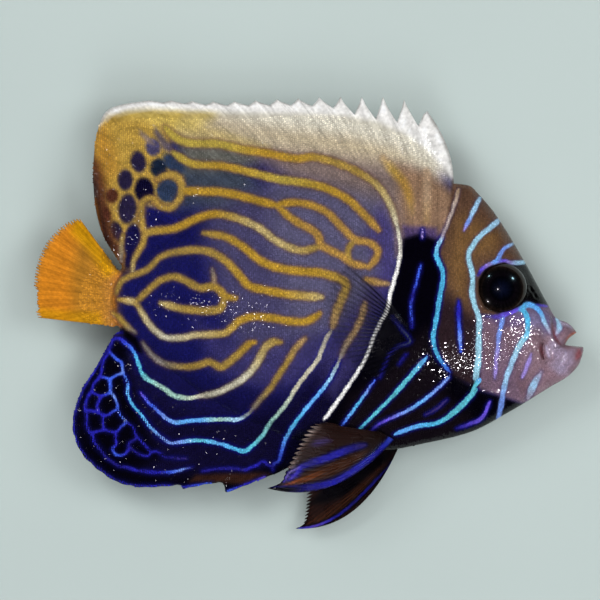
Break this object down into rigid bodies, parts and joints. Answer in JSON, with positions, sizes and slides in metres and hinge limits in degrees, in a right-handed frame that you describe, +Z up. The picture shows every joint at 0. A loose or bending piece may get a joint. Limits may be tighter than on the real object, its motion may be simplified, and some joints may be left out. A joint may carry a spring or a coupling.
{
  "type": "emperor angelfish",
  "caption": "Life-size still model of an emperor angelfish in its changing coat, lying on its left flank with its right flank up and its fins spread.",
  "frame": {"origin": "on the surface the fish lies on, under the centre of its bounding box", "axes": "+X towards the snout, +Y towards the back and the dorsal fin, +Z up out of the right flank"},
  "size_m": [0.1269, 0.1, 0.0184],
  "materials": {
    "skin": "wet scaled skin, indigo and brown with gold, white and electric blue lines",
    "fin_membrane": "wet fin membrane over fine rays, pale and gold above, blue-black below",
    "tail_membrane": "wet orange fin membrane with fringed ray tips",
    "clear_membrane": "thin clear fin membrane with fine grey rays",
    "eye": "very glossy black eye with a faint brown rim",
    "spine": "smooth bony spine, turquoise to pale blue"
  },
  "bodies": {
    "root": {"head": "skin", "upper_jaw": "skin", "lower_jaw": "skin", "gill_cover_right": "skin", "gill_cover_left": "skin", "eye_right": "eye", "eye_left": "eye", "cheek_spine_right": "spine", "cheek_spine_left": "spine", "trunk": "skin", "tail_stalk": "skin", "dorsal_fin_spines": "fin_membrane", "dorsal_fin_rays": "fin_membrane", "anal_fin": "fin_membrane", "tail_fin": "tail_membrane", "pectoral_fin_right": "clear_membrane", "pectoral_fin_left": "clear_membrane", "pelvic_fin_right": "fin_membrane", "pelvic_fin_left": "fin_membrane"}
  },
  "joints": []
}
